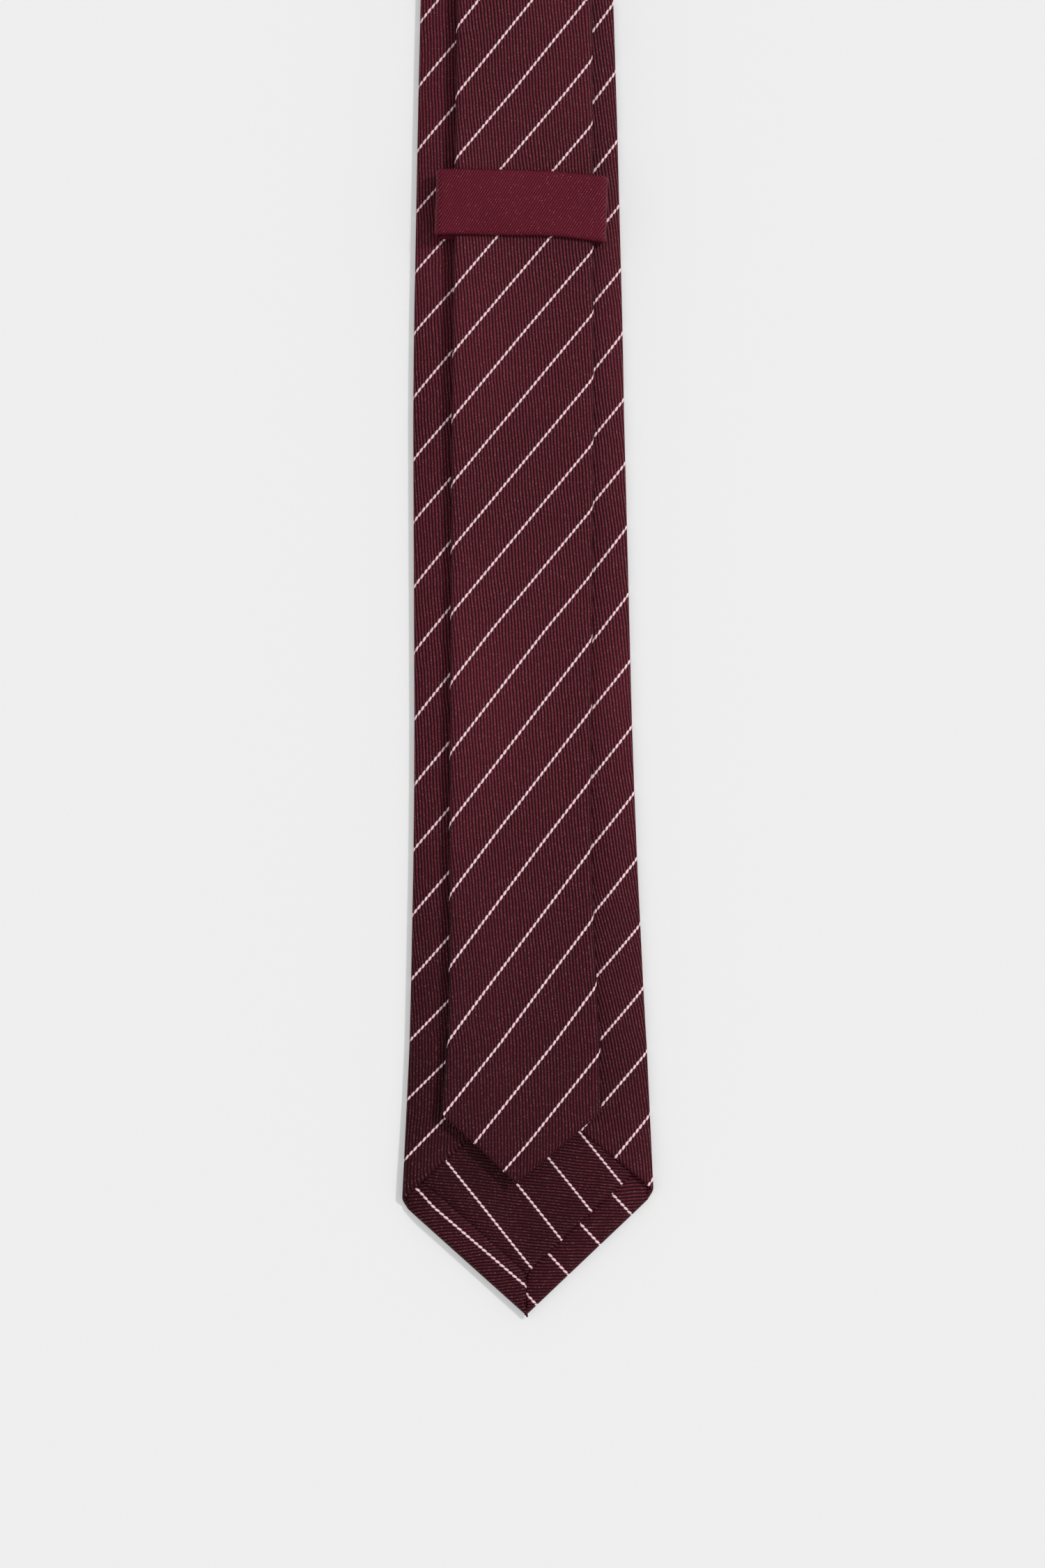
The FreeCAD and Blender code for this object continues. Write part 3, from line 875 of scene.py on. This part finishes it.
def fine_twill(name):
    """Plain wine silk with a fine slanting twill, and a painted highlight on a few of its floats."""
    material, weave, shader, flat = start_silk(name)
    u = flat.part("X") * (1 / MM)
    v = flat.part("Y") * (1 / MM)
    ridge = ((u * math.sin(twill_lean) - v * math.cos(twill_lean)) * (1 / twill_pitch)).wave()
    dots = ((u * math.cos(twill_lean) + v * math.sin(twill_lean)) * (1 / twill_float)).wave()
    chance = speckle(weave, u * 5.6, v * 6.0)
    broad = cloudy(weave, flat, 60.0)
    tone = ridge.above(0.05, 0.85) * (0.55 + dots * 0.45) * (0.7 + chance * 0.5) + (broad - 0.5) * 0.2
    sparkle = chance.above(0.90, 1.0) * ridge.above(0.4, 0.9) * dots.above(0.3, 0.9)
    ground = weave.mixed(tone, keeper_groove, keeper_ridge)
    plug(shader, "Base Color", weave.mixed(sparkle * 0.6, ground, keeper_glint))
    plug(shader, "Normal", weave.bump(ridge * 0.05 + dots * 0.03))
    return material


keeper_silk = fine_twill("keeper_silk")


def round_box(share, half_wide, half_high, bend):
    """A place on a box with rounded corners, by share of the way round from the middle of its top."""
    half_top = half_wide - bend
    side = 2 * (half_high - bend)
    corner = math.pi / 2 * bend
    lengths = [half_top, corner, side, corner, 2 * half_top, corner, side, corner, half_top]
    ends = np.concatenate([[0], np.cumsum(lengths)])
    headings = [0, 0, 1, 1, 2, 2, 3, 3, 4, 4]
    fine = np.linspace(0, ends[-1], 4001)
    heading = -np.interp(fine, ends, headings) * math.pi / 2
    between = heading[:-1] / 2 + heading[1:] / 2
    x = np.concatenate([[0], np.cumsum(np.cos(between))]) * fine[1]
    z = np.concatenate([[0], np.cumsum(np.sin(between))]) * fine[1]
    run = share * ends[-1]
    return np.interp(run, fine, x), half_high + np.interp(run, fine, z), np.interp(run, fine, heading), run


keeper_mesh = grid_cloth(240, 44)
share_x, share_y, _ = positions(keeper_mesh)
round_band, through, _, _ = round_box((share_y + 1) / 2, keeper_height / 2, keeper_band / 2, band_bend)
x, z, heading, run = round_box((share_x + 1) / 2, keeper_half, keeper_rise, keeper_bend)
bottom = smooth(-z, -0.5, 1.5)
wave = 0.12 * np.sin(x / 6.5 + 0.6) - 0.12 * np.cos(x / 3.9 + 1.0)
edge = np.where(round_band > 0, 0.6, 1.0) * wave * (1 - bottom)
swell = 0.30 * np.cos(x / keeper_half * 1.4) * (1 - (round_band / keeper_height * 2) ** 2) * (1 - bottom)
low_edge = 0.22 * smooth(-round_band, 3, keeper_height / 2) * (1 - bottom) * np.sin(x / 5.0)
outwards = through + (swell + low_edge) * 0.6
flat_x = x - outwards * np.sin(heading)
flat_z = z + outwards * np.cos(heading) + keeper_middle.z
bow = keeper_bow * np.cos((x / keeper_half + 0.28) / 1.28 * math.pi / 2) * (1 - bottom)
flat_y = round_band + bow + edge * np.abs(round_band) / keeper_height * 2
remember_cloth(keeper_mesh, run, round_band)
x = keeper_aside + flat_x * math.cos(keeper_turn) - flat_y * math.sin(keeper_turn)
y = keeper_middle.y - keeper_drop + flat_x * math.sin(keeper_turn) + flat_y * math.cos(keeper_turn)
move(keeper_mesh, x, y, flat_z)
bmesh.ops.remove_doubles(keeper_mesh, verts=keeper_mesh.verts, dist=0.01)
bmesh.ops.recalc_face_normals(keeper_mesh, faces=keeper_mesh.faces)
keeper = finish_piece("keeper", keeper_mesh, keeper_silk, keeper_wall)
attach(keeper, "blade")
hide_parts("keeper_loop")

# ---------------------------------------------------------------------------------------------
# The sewing: wine silk thread. A row of slip stitches closes the back from end to end, a bar of
# satin stitches stops it at each point, small stitches hold the tippings and the keeper, and a
# run of machine stitches lies in each slanting neck seam.
# ---------------------------------------------------------------------------------------------
slip_thread = 0.28          # thickness of the slip stitches' thread
bar_thread = 0.26
fine_thread = 0.24
slip_pitch = 6.5            # from one slip stitch to the next
point_pitch = 2.6
machine_pitch = 2.2
machine_stitch = 1.5        # length of one
bar_half = 0.6              # half a bar's width up the tie
hem_seam_in = 1.95          # the hem's stitches, above the cloth's outer face


def twisted_thread(name):
    """Wine silk thread with a light sheen and the grooves of its twist."""
    material, twist, shader = start_material(name, 0.45)
    shader.inputs["Sheen Weight"].default_value = 0.2
    place = twist.node("ShaderNodeTexCoord", {}, {}, "Object")
    groove = ((place.part("X") + place.part("Y")) * (6.0 / MM)).wave()
    plug(shader, "Base Color", twist.mixed(groove, (0.10, 0.012, 0.020, 1), (0.24, 0.045, 0.060, 1)))
    plug(shader, "Normal", twist.bump(groove * 0.03))
    return material


thread = twisted_thread("sewing_thread")


def sew(name, stitches, thick, nodes):
    """One piece made of stitches, each a small rounded length of thread from one place to another."""
    row = bmesh.new()
    for start, end in stitches:
        start, end = Vector(start), Vector(end)
        turn = (end - start).to_track_quat("Z", "X").to_matrix().to_4x4()
        size = Matrix.Diagonal((thick / 2, thick / 2, (end - start).length / 2, 1))
        place = Matrix.Translation((start + end) / 2) @ turn @ size
        bmesh.ops.create_uvsphere(row, u_segments=8, v_segments=6, radius=1, matrix=place)
    piece = finish_piece(name, row, thread)
    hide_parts(*nodes)
    return piece


def slip_row(low, high, placed):
    """Slanting slip stitches every few millimetres along the middle of the back."""
    count = int((high - low) / slip_pitch)
    starts = [low + (high - low) * k / count for k in range(count)]
    return [(placed(-0.5, s + 2.0), placed(1.1, s + 3.6)) for s in starts]


def bar_tack(place, up):
    """A short bar of satin stitches, side by side, with two wraps over them."""
    x, y, z = place
    rows = [y + (k - 2.5) * 0.22 for k in range(6)]
    bars = [((x - 2.5, row, z), (x + 2.5, row, z)) for row in rows]
    wraps = [((x + side, y - 0.75, z + up), (x + side, y + 0.75, z + up)) for side in (-1.6, 1.6)]
    return bars + wraps


def point_row(slant, inner, depth_in, half, placed):
    """Small stitches along the seam between the hem and the tipping, up both sides of the point."""
    row = []
    for side in (-1, 1):
        for k in range(int((half - inner) / point_pitch)):
            low = 1.5 + k * point_pitch
            high = low + point_pitch / 2
            first = (side * low, inner / math.cos(slant) + low * math.tan(slant))
            last = (side * high, inner / math.cos(slant) + high * math.tan(slant))
            row.append((placed(*first, depth_in), placed(*last, depth_in)))
    return row


def on_blade(x, y, z):
    x, y = lie_blade(np.float64(x), np.float64(y + point_y / MM))
    return float(x), float(y), z


def on_tail(x, y, z):
    x, y, z = lie_tail(np.float64(-x), np.float64(y + tail_point_y), z)
    return float(x), float(y), float(z)


def on_neck(x, s, inside):
    y, z = along_neck(s, inside)
    return x, float(y), float(z)


bar_y = (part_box("blade_bar_tack")[0].y - point_y) / MM + bar_half
blade_slip = sew(
    "blade_slip_stitches",
    slip_row(bar_y + 2, blade_length - 18, lambda x, y: on_blade(x, y, tie_height - 0.05)),
    slip_thread,
    ["blade_slip_thread"],
)
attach(blade_slip, "blade")
blade_bar = sew(
    "blade_bar", bar_tack(on_blade(0, bar_y, tie_height + 0.2), 0.12), bar_thread, ["blade_bar_tack"]
)
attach(blade_bar, "blade")
blade_point = sew(
    "blade_point_stitches",
    point_row(blade_slant, blade_hem - 0.1, hem_seam_in, blade_half - 5, on_blade),
    fine_thread,
    ["blade_tipping_stitches"],
)
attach(blade_point, "blade")

neck_slip = sew(
    "neck_slip_stitches",
    slip_row(18, neck_length - 18, lambda x, s: on_neck(x, s, tie_height - 0.05)),
    slip_thread,
    ["neck_slip_thread"],
)
bend_neck(neck_slip)

tail_slip = sew(
    "tail_slip_stitches",
    slip_row(38, tail_length - 18, lambda x, y: on_tail(x, y, tie_height - 0.05)),
    slip_thread,
    ["tail_slip_thread", "tail_end_slip_thread"],
)
bend_tail(tail_slip)
tail_bar_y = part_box("tail_bar_tack")[0].y / MM + bar_half - tail_point_y
tail_bar = sew(
    "tail_bar", bar_tack(on_tail(0, tail_bar_y, tie_height + 0.15), -0.12), bar_thread, ["tail_bar_tack"]
)
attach(tail_bar, "tail_end")
tail_point = sew(
    "tail_point_stitches",
    point_row(tail_slant, tail_hem - 0.1, hem_seam_in, tail_half - 4, on_tail),
    fine_thread,
    ["tail_tipping_stitches"],
)
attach(tail_point, "tail_end")


def seam_row(placed):
    """Machine stitches in a seam that crosses the tie at a slant."""
    places = [(k - 6) * machine_pitch for k in range(12)]
    return [(placed(x, x), placed(x + machine_stitch, x + machine_stitch)) for x in places]


front_seam = sew(
    "front_seam_stitches",
    seam_row(lambda x, y: (x, front_seam_y + y, 0.16)),
    fine_thread,
    ["front_neck_seam_thread"],
)
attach(front_seam, "blade")
tail_seam = sew(
    "tail_seam_stitches",
    seam_row(lambda x, y: (x, tail_seam_y + y, tail_top - 0.16)),
    fine_thread,
    ["tail_neck_seam_thread"],
)
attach(tail_seam, "tail")

tack_z = keeper_low.z + 0.85
tack_half = 1.0
tack_stitches = []
for side in (-7, 7):
    for k in range(5):
        x = side + keeper_aside + (k - 2) * 0.55
        low, high = keeper_middle.y - tack_half, keeper_middle.y + tack_half
        tack_stitches.append(((x, low, tack_z), (x, high, tack_z)))
keeper_stitches = sew("keeper_stitches", tack_stitches, bar_thread, ["keeper_tacks"])
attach(keeper_stitches, "blade")

low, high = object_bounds()
